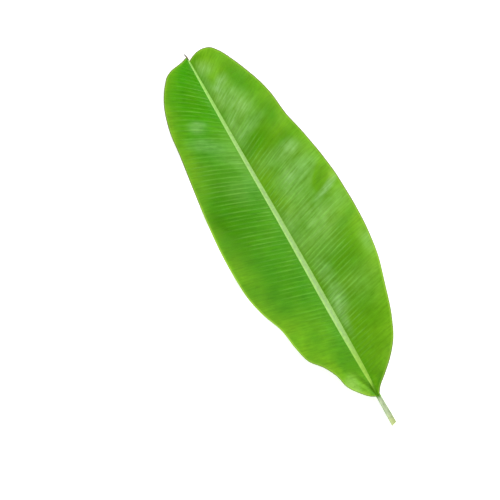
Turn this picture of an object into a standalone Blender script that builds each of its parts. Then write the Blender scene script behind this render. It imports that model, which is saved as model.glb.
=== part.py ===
"""Banana leaf, cut with a stub of its stalk and lying face up.

One grown piece: the blade with its waved margin, the lateral veins as ridges, the grooved
midrib with its keel below, the stalk stub with an oblique cut, and the dried tip.

Sizes are in millimetres and are turned to metres as the mesh is placed. In the drawing frame
Y runs along the leaf with 0 where the blade starts on the stalk, X is across it with + on the
right of the midrib as seen from above, and Z is the height over the surface that it lies on.
At the end the middle of the footprint becomes the origin.
"""

import math
from collections import namedtuple

import bmesh
import bpy
import numpy as np

MM = 0.001

BLADE_LENGTH = 850.0
STALK_LENGTH = 70.0
STALK_CUT_SLOPE = 0.32  # how far the cut runs up the leaf for each millimetre across
TIP_LENGTH = 8.4  # the dried thread past the blade
NOTCH_Y = 840.0  # where the right half's margin comes back to the midrib

VEIN_PITCH = 10.0
ROWS_PER_VEIN = 2  # one row on the ridge, one in the furrow
VEIN_RELIEF = 0.38
RELIEF_FLATNESS = 0.4  # a low power keeps the ridges at full height almost to both ends
RELIEF_FULL_WIDTH = 30.0  # where a half is narrower than this, its ridges are lower
BLADE_THICKNESS = 0.8
STALK_ROWS = 9
TIP_ROWS = 3

# Shares of a half's width where the mesh has a column, from the midrib's edge to the margin.
WING_COLUMNS = (0.0, 0.15, 0.33, 0.58, 0.82, 1.0)
# The midrib's columns: its edges, the shoulders of its groove and the groove's floor.
RIB_COLUMNS = (-1.0, -0.62, -0.26, 0.26, 0.62, 1.0)
GROOVE_DEPTHS = (0.0, 0.62, 1.0, 1.0, 0.62, 0.0)
# Below each of those columns: its place in the keel's width and its share of the keel's depth.
KEEL_WIDTHS = (-1.0, -0.9, -0.42, 0.42, 0.9, 1.0)
KEEL_DEPTHS = (0.3, 0.66, 1.0, 1.0, 0.66, 0.3)

Section = namedtuple("Section", "y centre half_width keel_half depth groove")

# The stalk and the midrib, from the cut end to the thread at the tip.
SECTIONS = (
    Section(-72.0, 1.6, 5.2, 6.0, 11.0, 2.2),
    Section(-40.0, 1.6, 5.0, 5.7, 11.0, 2.2),
    Section(-14.0, 1.7, 4.4, 5.3, 11.5, 2.2),
    Section(0.0, 1.8, 2.6, 5.3, 11.9, 2.0),
    Section(14.0, 1.8, 1.6, 5.4, 12.0, 1.8),
    Section(40.0, 1.8, 3.3, 5.8, 12.2, 2.0),
    Section(68.0, 1.8, 4.7, 6.1, 12.2, 2.1),
    Section(100.0, 1.8, 5.4, 6.3, 12.0, 2.0),
    Section(200.0, 1.8, 6.6, 6.4, 11.0, 1.7),
    Section(330.0, 2.0, 6.1, 6.0, 10.0, 1.4),
    Section(450.0, 1.9, 5.4, 5.3, 9.0, 1.2),
    Section(570.0, 0.4, 4.7, 4.6, 7.4, 0.9),
    Section(690.0, -0.4, 3.8, 3.7, 5.6, 0.7),
    Section(780.0, -0.5, 2.9, 2.8, 4.0, 0.5),
    Section(835.0, -0.3, 1.6, 1.5, 2.5, 0.2),
    Section(851.0, -0.1, 1.3, 1.2, 2.0, 0.1),
    Section(858.4, -1.4, 0.8, 0.8, 1.4, 0.0),
)

# The margins as points across and along, from the stalk to the tip.
LEFT_MARGIN = (
    (-11, 5), (-33, 28), (-49, 52), (-56, 80), (-71, 110), (-95, 141), (-105, 178),
    (-113, 227), (-131, 275), (-142, 320), (-145.5, 370), (-145.5, 428), (-140.5, 500),
    (-130.5, 585), (-119.5, 665), (-110, 738), (-92, 789), (-69, 823), (-59, 833.5),
    (-47, 839.8), (-24, 844.3), (-10, 847.2),
)
RIGHT_MARGIN = (
    (15, 16), (37, 36), (66, 64), (92, 96), (112.5, 138), (134, 204), (153, 268),
    (161, 330), (163.5, 380), (162, 440), (155.5, 512), (144, 575), (130.5, 633),
    (122, 698), (106, 750), (85.5, 799), (68, 830.5), (54, 845), (38, 850),
    (20, 848.5), (9, 844),
)

# Degrees by which the veins lean towards the tip, at places along the midrib.
LEFT_LEAN = ((0, 12), (170, 18), (425, 24), (680, 31), (850, 36))
RIGHT_LEAN = ((0, 10), (250, 14), (425, 17), (550, 22), (680, 28), (850, 45))
VEIN_SWEEP = 0.3  # the share of the lean that a vein saves for its outer end

# How high each half arches over the line from midrib to margin, at places along the midrib.
LEFT_ARCH = ((0, 0), (20, -1), (50, 0), (100, 3), (200, 6), (330, 8), (480, 8), (620, 7),
             (740, 5), (820, 2), (850, 0))
RIGHT_ARCH = ((0, 0), (35, 0), (70, 1), (120, 3), (200, 6), (330, 8), (480, 9), (620, 8),
              (740, 6), (820, 2), (850, 0))
# How high the margin's underside lies, before its waves, at the same sort of places. Beside
# the stalk both halves stand up, and further on they come down to the surface.
LEFT_MARGIN_HEIGHT = ((0, 13), (20, 17), (50, 17), (95, 12), (125, 11), (170, 4), (250, 0),
                      (620, 0), (740, 1.5), (850, 5))
RIGHT_MARGIN_HEIGHT = ((0, 13), (20, 18), (50, 22), (110, 18), (180, 8), (260, 1), (330, 0),
                       (600, 0), (740, 2), (850, 5))
ARCH_CREST = 0.85  # a power below 1 brings the crest of the arch nearer to the midrib
DROOP_POWER = 1.6  # above 1, a half comes down to its margin mostly in its outer part

# Two waves that run along each margin: share, length and start, added together.
LEFT_WAVES = ((0.64, 151.0, 0.9), (0.36, 83.0, 2.6))
RIGHT_WAVES = ((0.8, 130.0, 0.0), (0.2, 114.0, 3.6))
WAVE_HEIGHT = 6.5
WAVE_POWER = 2.6  # above 1, the waves stay in the outer part of a half
WAVE_SETTLE = 0.4  # how far the troughs are pressed on to the surface
WAVE_FADE = 60.0  # the waves die away over this length at the blade's two ends
RESTS_WITHIN = 0.01  # what lies this near to the surface lies flat on it

# The soft valley in the left half where it stands up beside the stalk: its middle along and as
# a share of the half's width, how much of that share it gains for each millimetre along, how
# far it runs each way, and its depth. It follows a ray from where the blade starts.
Valley = namedtuple("Valley", "y share drift reach half_share depth")
LEFT_VALLEY = Valley(34.0, 0.25, 0.0065, 32.0, 0.28, 4.5)

# The keel's underside: flat on the surface for the middle of the leaf, rising to both ends.
REST_FROM = 250.0
REST_TO = 530.0
STALK_RISE = 4.0
TIP_RISE = 3.0
END_RUN = 320.0

COLOURS = {
    "leaf_blade_green": ((0.105, 0.335, 0.022), 0.42),
    "midrib_pale_green": ((0.42, 0.66, 0.235), 0.5),
    "dried_tip_brown": ((0.13, 0.075, 0.04), 0.8),
}
BLADE_SLOT, RIB_SLOT, TIP_SLOT = range(3)


def smooth(knots, values, at):
    """The value at a place, on a cubic curve whose slope at each knot comes from its neighbours."""
    knots = np.asarray(knots, float)
    values = np.asarray(values, float)
    slopes = np.gradient(values, knots)
    i = np.clip(np.searchsorted(knots, at) - 1, 0, len(knots) - 2)
    span = knots[i + 1] - knots[i]
    f = (at - knots[i]) / span
    ends = values[i] * (1 + 2 * f) * (1 - f) ** 2 + values[i + 1] * (3 - 2 * f) * f**2
    return ends + span * (slopes[i] * f * (1 - f) ** 2 - slopes[i + 1] * (1 - f) * f**2)


def eased(table, y):
    """A (place, value) table read at y, on a smooth curve through its values."""
    places, values = zip(*table)
    return float(smooth(places, values, y))


def ease(share):
    """0 below 0, 1 above 1, and an even S between them."""
    share = min(max(share, 0.0), 1.0)
    return share * share * (3 - 2 * share)


def section(y):
    """The stalk's or midrib's section at y."""
    y = min(max(y, SECTIONS[0].y), SECTIONS[-1].y)
    places = [s.y for s in SECTIONS]
    columns = list(zip(*SECTIONS))[1:]
    return Section(y, *(float(smooth(places, values, y)) for values in columns))


def keel_height(y):
    """Height of the keel's underside: 0 where the leaf rests on it."""
    to_stalk = STALK_RISE * ease((REST_FROM - y) / END_RUN)
    to_tip = TIP_RISE * ease((y - REST_TO) / END_RUN)
    return to_stalk + to_tip


def lip_height(y):
    """Height of the midrib's upper edges, where the blade leaves it."""
    return keel_height(y) + section(y).depth


class Half:
    """One half of the blade: left has side -1, right has side 1."""

    def __init__(self, side, margin, top_y, lean, arch, margin_height, waves, valley=None):
        self.side = side
        self.top_y = top_y
        self.lean = lean
        self.arch = arch
        self.margin_height = margin_height
        self.waves = waves
        self.valley = valley
        self.outline = self.dense_outline(margin)

    def edge(self, y):
        """Where the half leaves the midrib at y."""
        here = section(y)
        return here.centre + self.side * here.half_width

    def dense_outline(self, margin):
        """The margin as many points on a smooth curve, tied to the midrib at both ends."""
        points = [(self.edge(0.0), 0.0), *margin, (self.edge(self.top_y), self.top_y)]
        points = np.array(points, float)
        steps = np.hypot(*np.diff(points, axis=0).T)
        run = np.concatenate([[0.0], np.cumsum(steps)])
        at = np.linspace(0.0, run[-1], 2400)
        return np.array([smooth(run, points[:, 0], at), smooth(run, points[:, 1], at)])

    def vein_end(self, y):
        """Where the vein that leaves the midrib at y meets the margin."""
        x, up = self.outline
        slope = math.tan(math.radians(eased(self.lean, y)))
        foot = up - slope * np.abs(x - self.edge(y))
        foot = np.maximum.accumulate(foot)
        last = np.searchsorted(foot, y)
        last = min(max(int(last), 1), len(foot) - 1)
        gap = foot[last] - foot[last - 1]
        share = (y - foot[last - 1]) / gap if gap > 0 else 0.0
        share = min(max(share, 0.0), 1.0)
        return [float(a[last - 1] + share * (a[last] - a[last - 1])) for a in (x, up)]

    def wave(self, y):
        """Height of the margin's waves at y, with broad troughs and narrower crests."""
        total = sum(part * math.sin(math.tau * y / length + start) for part, length, start in self.waves)
        height = max(WAVE_HEIGHT * ((1 + total) / 2) ** 2 - WAVE_SETTLE, 0.0)
        return height * ease(min(y, self.top_y - y) / WAVE_FADE)

    def valley_depth(self, y, share):
        """How far the valley beside the stalk takes the surface down."""
        valley = self.valley
        if valley is None:
            return 0.0
        middle = valley.share + valley.drift * (y - valley.y)
        along = math.exp(-(((y - valley.y) / valley.reach) ** 2))
        across = ease(1.0 - abs(share - middle) / valley.half_share)
        return valley.depth * along * across

    def relief(self, width, share, row):
        """Height of the vein's ridge, or depth of the furrow beside it, in this row."""
        ridge = 1 if row % ROWS_PER_VEIN else -1
        shape = max(math.sin(math.pi * share), 0.0) ** RELIEF_FLATNESS
        return ridge * VEIN_RELIEF * shape * ease(width / RELIEF_FULL_WIDTH)

    def point(self, y, share, row):
        """The upper surface at a share of the way along the vein that leaves the midrib at y."""
        edge = self.edge(y)
        lip = lip_height(y)
        if not 0.0 < y < self.top_y:
            return edge, y, lip
        end_x, end_y = self.vein_end(y)
        run = share + VEIN_SWEEP * (share**3 - share)
        margin = BLADE_THICKNESS + eased(self.margin_height, y)
        height = lip + (margin - lip) * share**DROOP_POWER + self.wave(y) * share**WAVE_POWER
        height += eased(self.arch, y) * math.sin(math.pi * share**ARCH_CREST)
        height -= self.valley_depth(y, share)
        height += self.relief(abs(end_x - edge), share, row)
        return (
            edge + (end_x - edge) * share,
            y + (end_y - y) * run,
            max(height, BLADE_THICKNESS),
        )


def rib_top(y, column):
    """A point of the midrib's or stalk's upper face."""
    here = section(y)
    x = here.centre + RIB_COLUMNS[column] * here.half_width
    return x, y, lip_height(y) - GROOVE_DEPTHS[column] * here.groove


def rib_under(y, column):
    """A point of the keel below it."""
    here = section(y)
    x = here.centre + KEEL_WIDTHS[column] * here.keel_half
    return x, y, lip_height(y) - KEEL_DEPTHS[column] * here.depth


def row_places():
    """Y of each row of the mesh, from the stalk's cut to the end of the thread."""
    stalk = np.linspace(-STALK_LENGTH, 0.0, STALK_ROWS + 1)[:-1]
    blade_rows = round(BLADE_LENGTH / VEIN_PITCH * ROWS_PER_VEIN)
    blade = np.linspace(0.0, BLADE_LENGTH, blade_rows + 1)
    tip = np.linspace(BLADE_LENGTH, BLADE_LENGTH + TIP_LENGTH, TIP_ROWS + 1)[1:]
    return [float(y) for y in (*stalk, *blade, *tip)]


def cut_slant(x, y):
    """Y of a stalk point once the oblique cut is made, easing off away from the cut."""
    near_cut = ease(1.0 - (y + STALK_LENGTH) / (STALK_LENGTH / 3))
    return y + STALK_CUT_SLOPE * (x - section(y).centre) * near_cut


def halves():
    """The blade's left and right halves."""
    left = Half(
        side=-1, margin=LEFT_MARGIN, top_y=BLADE_LENGTH, lean=LEFT_LEAN, arch=LEFT_ARCH,
        margin_height=LEFT_MARGIN_HEIGHT, waves=LEFT_WAVES, valley=LEFT_VALLEY,
    )
    right = Half(
        side=1, margin=RIGHT_MARGIN, top_y=NOTCH_Y, lean=RIGHT_LEAN, arch=RIGHT_ARCH,
        margin_height=RIGHT_MARGIN_HEIGHT, waves=RIGHT_WAVES,
    )
    return left, right


def leaf_mesh():
    """The closed mesh of the whole leaf."""
    left, right = halves()
    rows = row_places()
    wing = len(WING_COLUMNS) - 1
    rib = len(RIB_COLUMNS) - 1
    columns = wing + rib + wing

    bm = bmesh.new()
    bmesh.ops.create_grid(bm, x_segments=columns, y_segments=len(rows) - 1, size=1.0)
    row_layer = bm.verts.layers.int.new("row")
    column_layer = bm.verts.layers.int.new("column")
    for vert in bm.verts:
        vert[column_layer] = round((vert.co.x + 1) / 2 * columns)
        vert[row_layer] = round((vert.co.y + 1) / 2 * (len(rows) - 1))

    blade_from = STALK_ROWS
    blade_to = len(rows) - 1 - TIP_ROWS
    bare = []
    for face in bm.faces:
        face_column = min(v[column_layer] for v in face.verts)
        face_row = min(v[row_layer] for v in face.verts)
        on_rib = wing <= face_column < wing + rib
        on_blade = blade_from <= face_row < blade_to
        if not on_rib and not on_blade:
            bare.append(face)
        if on_rib:
            face.material_index = TIP_SLOT if face_row >= blade_to else RIB_SLOT
    bmesh.ops.delete(bm, geom=bare, context="FACES")

    for vert in bm.verts:
        y = rows[vert[row_layer]]
        column = vert[column_layer]
        row = vert[row_layer] - blade_from
        if column < wing:
            vert.co = left.point(y, WING_COLUMNS[wing - column], row)
        elif column > wing + rib:
            vert.co = right.point(y, WING_COLUMNS[column - wing - rib], row)
        else:
            vert.co = rib_top(y, column - wing)
    bmesh.ops.remove_doubles(bm, verts=bm.verts[:], dist=1e-4)
    bmesh.ops.dissolve_degenerate(bm, edges=bm.edges[:], dist=1e-4)
    bmesh.ops.triangulate(bm, faces=bm.faces[:], quad_method="SHORT_EDGE")
    bmesh.ops.recalc_face_normals(bm, faces=bm.faces[:])
    bm.normal_update()
    if sum(face.normal.z for face in bm.faces) < 0:
        bmesh.ops.reverse_faces(bm, faces=bm.faces[:])
        bm.normal_update()

    normals = {(v[row_layer], v[column_layer]): v.normal.copy() for v in bm.verts}
    made = bmesh.ops.extrude_face_region(bm, geom=bm.faces[:])["geom"]
    for vert in [part for part in made if isinstance(part, bmesh.types.BMVert)]:
        y = rows[vert[row_layer]]
        column = vert[column_layer] - wing
        on_blade = blade_from <= vert[row_layer] <= blade_to
        if 0 < column < rib or (0 <= column <= rib and not on_blade):
            vert.co = rib_under(y, column)
            continue
        normal = normals[vert[row_layer], vert[column_layer]]
        resting = vert.co.z <= BLADE_THICKNESS + RESTS_WITHIN
        vert.co -= normal * BLADE_THICKNESS
        if resting:
            vert.co.z = 0.0
    bmesh.ops.recalc_face_normals(bm, faces=bm.faces[:])

    for vert in bm.verts:
        if vert.co.y < 0:
            vert.co.y = cut_slant(vert.co.x, vert.co.y)
    return bm


def centre_on_footprint(bm):
    """Moves the middle of the footprint to the origin and turns millimetres to metres."""
    points = np.array([vert.co[:] for vert in bm.verts])
    middle = (points.min(axis=0) + points.max(axis=0)) / 2
    bmesh.ops.translate(bm, verts=bm.verts[:], vec=(-middle[0], -middle[1], 0.0))
    bmesh.ops.scale(bm, verts=bm.verts[:], vec=(MM, MM, MM))


def material(name, colour, roughness):
    """A Principled material of one colour."""
    made = bpy.data.materials.new(name)
    made.use_nodes = True
    shader = made.node_tree.nodes["Principled BSDF"]
    shader.inputs["Base Color"].default_value = (*colour, 1.0)
    shader.inputs["Roughness"].default_value = roughness
    shader.inputs["Metallic"].default_value = 0.0
    return made


def main():
    for old in list(bpy.data.objects):
        bpy.data.objects.remove(old, do_unlink=True)
    collection = bpy.data.collections.new("banana_leaf")
    bpy.context.scene.collection.children.link(collection)

    bm = leaf_mesh()
    centre_on_footprint(bm)
    mesh = bpy.data.meshes.new("banana_leaf")
    bm.to_mesh(mesh)
    bm.free()
    for name, (colour, roughness) in COLOURS.items():
        mesh.materials.append(material(name, colour, roughness))
    mesh.shade_smooth()
    mesh.set_sharp_from_angle(angle=math.radians(50))
    leaf = bpy.data.objects.new("banana_leaf", mesh)
    collection.objects.link(leaf)


main()
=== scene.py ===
"""Banana leaf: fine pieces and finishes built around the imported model.

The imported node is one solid. Four finer pieces stand for it: the two halves of the blade, the
midrib with the stalk stub and its cut face, and the dried thread at the tip. They follow the
same outline, arch, valley, waves and vein pitch as the source.

Sizes are in millimetres in the drawing frame: Y runs along the leaf with 0 where the blade
starts on the stalk, X is across it with + on the right of the midrib as seen from above, and Z
is the height over the surface that it lies on. Placement turns them to metres in the row frame.
"""

from __future__ import annotations

import logging
import math
from dataclasses import dataclass, field
from enum import Enum

import bmesh
import bpy
import numpy as np
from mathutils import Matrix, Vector
from mathutils.kdtree import KDTree


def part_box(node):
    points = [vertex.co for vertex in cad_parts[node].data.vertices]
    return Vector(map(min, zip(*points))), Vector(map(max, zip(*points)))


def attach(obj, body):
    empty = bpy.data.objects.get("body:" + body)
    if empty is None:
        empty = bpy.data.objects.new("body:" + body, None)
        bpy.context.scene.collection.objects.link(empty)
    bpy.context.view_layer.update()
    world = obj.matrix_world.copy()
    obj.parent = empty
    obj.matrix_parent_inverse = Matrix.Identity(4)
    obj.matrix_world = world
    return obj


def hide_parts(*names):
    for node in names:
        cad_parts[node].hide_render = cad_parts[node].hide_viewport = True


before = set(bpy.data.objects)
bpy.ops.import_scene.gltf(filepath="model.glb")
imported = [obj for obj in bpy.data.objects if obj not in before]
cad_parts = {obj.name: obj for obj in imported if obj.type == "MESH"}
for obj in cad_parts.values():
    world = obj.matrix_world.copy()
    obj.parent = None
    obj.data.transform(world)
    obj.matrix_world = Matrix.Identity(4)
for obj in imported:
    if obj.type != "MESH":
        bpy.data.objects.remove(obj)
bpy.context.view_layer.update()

LOG = logging.getLogger("banana_leaf")
NODE = "banana_leaf"
BODY = "root"
MM = 0.001
VEIN_MAP = "vein"
SEED = 7


class Side(Enum):
    """Which half of the blade, as its direction across the leaf."""

    LEFT = -1
    RIGHT = 1


class Tissue(Enum):
    """The colours of a fresh banana blade, named for what makes them, though the wax colour also paints sheen, the
    deep colour also paints shade and the rim colour also paints highlights.
    """

    COOL = "#4C941C"
    WARM = "#57930C"
    FRESH = "#3F9702"
    # Deep green tone, which the deep patches also lay as painted shade on folds and creases.
    DEEP_AND_SHADE = "#3B8403"
    YOUNG = "#74B01E"
    # Pale bluish wax bloom, laid also as painted sheen where the blade would catch the light.
    WAX_AND_SHEEN = "#8EC072"
    VEIN = "#7CC04C"
    # Yellowish rim colour, which the pale patches also lay as painted highlights.
    RIM_AND_HIGHLIGHT = "#A8D44A"
    SCAR = "#5C5230"
    PALE = "#7FAE52"
    PALE_VEIN = "#A9CC84"


def linear(code: str) -> tuple[float, float, float, float]:
    """Turns an sRGB hex colour to linear light.

    Args:
        code: The colour as "#RRGGBB".

    Returns:
        Red, green, blue and a full alpha.
    """
    parts = [int(code[i:i + 2], 16) / 255 for i in (1, 3, 5)]
    red, green, blue = (p / 12.92 if p <= 0.04045 else ((p + 0.055) / 1.055) ** 2.4 for p in parts)
    return red, green, blue, 1.0


def smooth(knots: tuple | np.ndarray, values: tuple | np.ndarray, at: np.ndarray) -> np.ndarray:
    """Reads a cubic curve whose slope at each knot comes from its neighbours.

    Args:
        knots: Rising places.
        values: The value at each place, along the first axis.
        at: Places to read.

    Returns:
        The values at those places.
    """
    knots = np.asarray(knots, float)
    values = np.asarray(values, float)
    at = np.asarray(at, float)
    slopes = np.gradient(values, knots, axis=0)
    i = np.clip(np.searchsorted(knots, at) - 1, 0, len(knots) - 2)
    span = knots[i + 1] - knots[i]
    f = (at - knots[i]) / span
    if values.ndim > 1:
        span, f = span[:, None], f[:, None]
    ends = values[i] * (1 + 2 * f) * (1 - f) ** 2 + values[i + 1] * (3 - 2 * f) * f**2
    return ends + span * (slopes[i] * f * (1 - f) ** 2 - slopes[i + 1] * (1 - f) * f**2)


def eased(table: tuple[tuple[float, float], ...], y: np.ndarray) -> np.ndarray:
    """Reads a table of (place, value) pairs on a smooth curve."""
    places, values = zip(*table)
    return smooth(places, values, y)


def ease(share: np.ndarray | float) -> np.ndarray:
    """Gives 0 below 0, 1 above 1, and an even S between them."""
    share = np.clip(share, 0.0, 1.0)
    return share * share * (3 - 2 * share)


def rounded_floor(height: np.ndarray, softness: float) -> np.ndarray:
    """Keeps heights above 0, with a soft curve of that size where they meet it."""
    return np.logaddexp(0.0, height / softness) * softness


def add_node(
    tree: bpy.types.NodeTree,
    kind: str,
    links: dict | None = None,
    out: int | str | None = 0,
    **settings: object,
) -> bpy.types.NodeSocket | bpy.types.Node:
    """Adds a shader node, with its settings, its values and its links.

    Args:
        tree: The node tree.
        kind: The node's type name without "ShaderNode".
        links: For each input, by name or number, a socket to link or a value to hold.
        out: The output to return, or None for the node itself.
        settings: Properties of the node.

    Returns:
        The output socket, or the node.
    """
    made = tree.nodes.new("ShaderNode" + kind)
    for name, value in settings.items():
        setattr(made, name, value)
    for key, value in (links or {}).items():
        if isinstance(value, bpy.types.NodeSocket):
            tree.links.new(value, made.inputs[key])
        else:
            made.inputs[key].default_value = value
    return made if out is None else made.outputs[out]


@dataclass(frozen=True)
class Placement:
    """Moves drawing points, in millimetres, to the row frame, in metres."""

    across: float
    along: float
    low: Vector
    high: Vector

    def place(self, points: np.ndarray) -> np.ndarray:
        """Puts points in the row frame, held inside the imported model's box.

        Args:
            points: Rows of x, y and z in the drawing frame.

        Returns:
            The same points in metres.
        """
        moved = (points + np.array([self.across, self.along, 0.0])) * MM
        return np.clip(moved, np.array(self.low), np.array(self.high))


@dataclass(frozen=True)
class Section:
    """A cross-section of the stalk or midrib; each field is a number or an array."""

    y: float | np.ndarray
    centre: float | np.ndarray
    half_width: float | np.ndarray
    keel_half: float | np.ndarray
    depth: float | np.ndarray
    groove: float | np.ndarray


@dataclass(frozen=True)
class Spine:
    """The line that the whole leaf hangs on: the sizes of the midrib and stalk along it."""

    stalk_end: float = -70.0
    blade_length: float = 850.0
    thread_end: float = 858.4
    sections: tuple[Section, ...] = (
        Section(-72.0, 2.0, 5.4, 6.3, 11.0, 1.2),
        Section(-40.0, 2.0, 5.2, 6.0, 11.0, 1.2),
        Section(-14.0, 1.9, 4.4, 5.4, 11.5, 1.2),
        Section(0.0, 1.8, 2.6, 5.3, 11.9, 1.1),
        Section(14.0, 1.8, 1.6, 5.4, 12.0, 1.0),
        Section(40.0, 1.8, 3.3, 5.8, 12.2, 0.9),
        Section(68.0, 1.8, 4.6, 6.1, 12.2, 0.9),
        Section(100.0, 1.8, 5.2, 6.3, 12.0, 1.0),
        Section(200.0, 1.8, 6.4, 6.4, 11.0, 1.1),
        Section(330.0, 2.0, 5.9, 6.0, 10.0, 0.9),
        Section(450.0, 2.0, 5.2, 5.3, 9.0, 0.8),
        Section(570.0, 0.9, 4.4, 4.6, 7.4, 0.6),
        Section(690.0, 0.2, 3.6, 3.7, 5.6, 0.5),
        Section(780.0, 0.1, 2.7, 2.8, 4.0, 0.4),
        Section(835.0, 0.1, 1.6, 1.5, 2.5, 0.2),
        Section(851.0, 0.0, 1.3, 1.2, 2.0, 0.1),
        Section(858.4, -1.4, 0.8, 0.8, 1.4, 0.0),
    )
    rest_from: float = 250.0
    rest_to: float = 530.0
    stalk_rise: float = 4.0
    tip_rise: float = 3.0
    end_run: float = 320.0
    cut_slope: float = 0.32
    cut_run: float = 70.0 / 3

    def section(self, y: np.ndarray) -> Section:
        """Reads the sections at many places.

        Args:
            y: Places along the leaf.

        Returns:
            One section whose fields are arrays.
        """
        y = np.clip(y, self.sections[0].y, self.sections[-1].y)
        places = [s.y for s in self.sections]
        names = ("centre", "half_width", "keel_half", "depth", "groove")
        return Section(y, *(smooth(places, [getattr(s, n) for s in self.sections], y) for n in names))

    def keel_height(self, y: np.ndarray) -> np.ndarray:
        """Gives the height of the keel's underside, 0 where the leaf rests on it."""
        to_stalk = self.stalk_rise * ease((self.rest_from - y) / self.end_run)
        return to_stalk + self.tip_rise * ease((y - self.rest_to) / self.end_run)

    def lip_height(self, y: np.ndarray) -> np.ndarray:
        """Gives the height of the midrib's upper edges, where the blade leaves it."""
        return self.keel_height(y) + self.section(y).depth

    def cut_slant(self, x: np.ndarray, y: np.ndarray) -> np.ndarray:
        """Shifts stalk points along the leaf so that the stub ends in an oblique cut.

        Args:
            x: Places across.
            y: Places along.

        Returns:
            The new places along.
        """
        near_cut = ease(1.0 - (y - self.stalk_end) / self.cut_run)
        return y + self.cut_slope * (x - self.section(y).centre) * near_cut


@dataclass(frozen=True)
class Patch:
    """A patch of a half.

    Its middle lies at y along the leaf and at a share of the half's width, and it reaches so far
    each way. A slant turns it along the veins: it moves up by so much over the whole width. A
    higher edge gives it a crisper border.
    """

    y: float
    share: float
    along: float
    across: float
    strength: float
    slant: float = 0.0
    edge: float = 1.4

    def weight(self, y: np.ndarray, share: np.ndarray) -> np.ndarray:
        """Gives the patch's strength on a grid of places and shares."""
        from_middle = share - self.share
        far = ((y - self.y - self.slant * from_middle) / self.along) ** 2 + (from_middle / self.across) ** 2
        return self.strength * np.exp(-(far**self.edge))


@dataclass(frozen=True)
class Valley:
    """The soft valley in a half that stands up beside the stalk, on a ray from the blade's start."""

    y: float = 34.0
    share: float = 0.25
    drift: float = 0.0065  # share gained for each millimetre along
    reach: float = 32.0
    half_share: float = 0.28
    depth: float = 4.5

    def drop(self, y: np.ndarray, share: np.ndarray) -> np.ndarray:
        """Gives the valley's depth on a grid of places and shares."""
        middle = self.share + self.drift * (y - self.y)
        along = np.exp(-(((y - self.y) / self.reach) ** 2))
        return self.depth * along * ease(1.0 - np.abs(share - middle) / self.half_share)


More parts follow.
